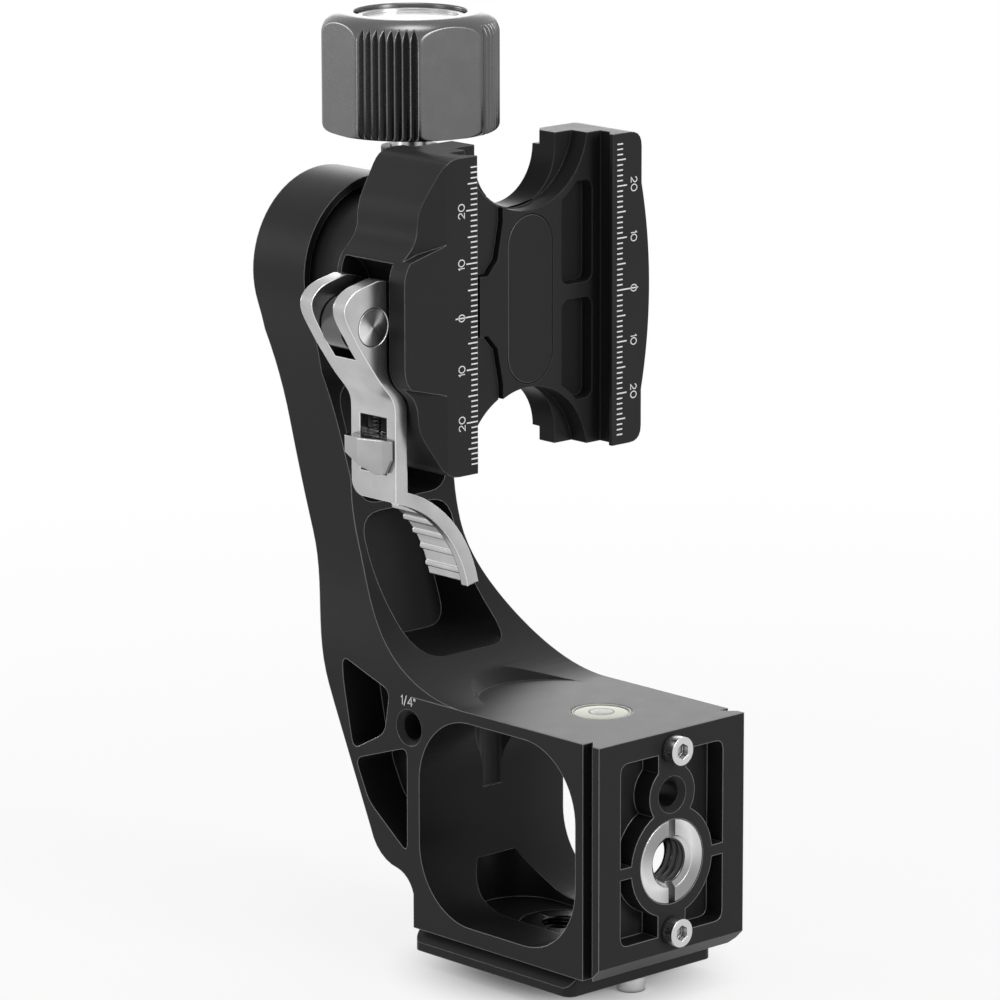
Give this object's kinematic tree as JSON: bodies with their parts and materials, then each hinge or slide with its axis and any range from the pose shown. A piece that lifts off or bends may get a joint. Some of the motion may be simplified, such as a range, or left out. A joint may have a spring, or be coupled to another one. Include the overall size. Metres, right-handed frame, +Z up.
{
  "type": "gimbal tripod head",
  "caption": "Side mounted gimbal tripod head: hollow foot block, curved arm, tilt axle with locking knob and lever clamp.",
  "frame": {"origin": "centre of the base thread's mouth, in the base face", "axes": "+Z up along the base thread and the arm, +X out of the end face and of the clamp's bed, +Y across the head away from the cam lever"},
  "size_m": [0.0999, 0.0733, 0.1806],
  "materials": {
    "black_anodised": "satin black anodising",
    "machined_black": "black anodising, fine blasted",
    "dark_alloy": "dark grey anodising, turned",
    "satin_steel": "satin, fine polished",
    "bronze": "machined",
    "white_plastic": "matt",
    "level_fluid": "clear, gloss"
  },
  "bodies": {
    "arm": {"arm_frame": "black_anodised", "pivot_housing": "black_anodised", "front_bush": "bronze", "rear_bush": "bronze", "rear_cap": "machined_black", "base_bushing": "satin_steel", "end_bushing": "satin_steel", "end_stop_screws": "satin_steel", "base_stop_screws": "satin_steel", "level_vial": "level_fluid", "level_sleeve": "satin_steel", "thrust_washer": "white_plastic"},
    "shoe": {"brake_shoe": "bronze"},
    "knob": {"knob_stud": "satin_steel", "lock_knob": "dark_alloy", "knob_cap": "dark_alloy"},
    "clamp": {"tilt_axle": "satin_steel", "axle_washer": "satin_steel", "axle_nut": "satin_steel", "clamp_base": "machined_black", "clamp_screws": "satin_steel", "bed_pad": "machined_black", "draw_rod": "satin_steel", "rod_nut": "satin_steel", "guide_pins": "satin_steel", "jaw_springs": "satin_steel"},
    "jaw": {"moving_jaw": "machined_black"},
    "cam_lever": {"lever": "satin_steel", "lever_pin": "satin_steel", "latch_spring": "satin_steel"},
    "safety_latch": {"latch": "satin_steel"}
  },
  "joints": [
    {"name": "clamp_tilt", "type": "hinge", "parent": "arm", "child": "clamp", "pos_m": [-0.0192, 0, 0.1265], "axis": [1, 0, 0], "continuous": true},
    {"name": "shoe_travel", "type": "slide", "parent": "arm", "child": "shoe", "axis": [0, 0, 1], "range_m": [0, 0.00125]},
    {"name": "knob_turn", "type": "hinge", "parent": "shoe", "child": "knob", "pos_m": [-0.042, 0, 0.155], "axis": [0, 0, 1], "range_deg": [0, 360]},
    {"name": "lever_turn", "type": "hinge", "parent": "clamp", "child": "cam_lever", "pos_m": [-0.01435, -0.0401, 0.1265], "axis": [1, 0, 0], "range_deg": [-75, 0]},
    {"name": "jaw_slide", "type": "slide", "parent": "clamp", "child": "jaw", "axis": [0, 1, 0], "range_m": [-0.00158, 0]},
    {"name": "latch_slide", "type": "slide", "parent": "cam_lever", "child": "safety_latch", "axis": [0, 0, 1], "range_m": [0, 0.003], "deforming": ["latch_spring"]}
  ],
  "couplings": [
    {"joint": "shoe_travel", "follows": "knob_turn", "m_per_rad": 0.0001989},
    {"joint": "lever_turn", "follows": "jaw_slide", "rad_per_m": 826.79}
  ]
}
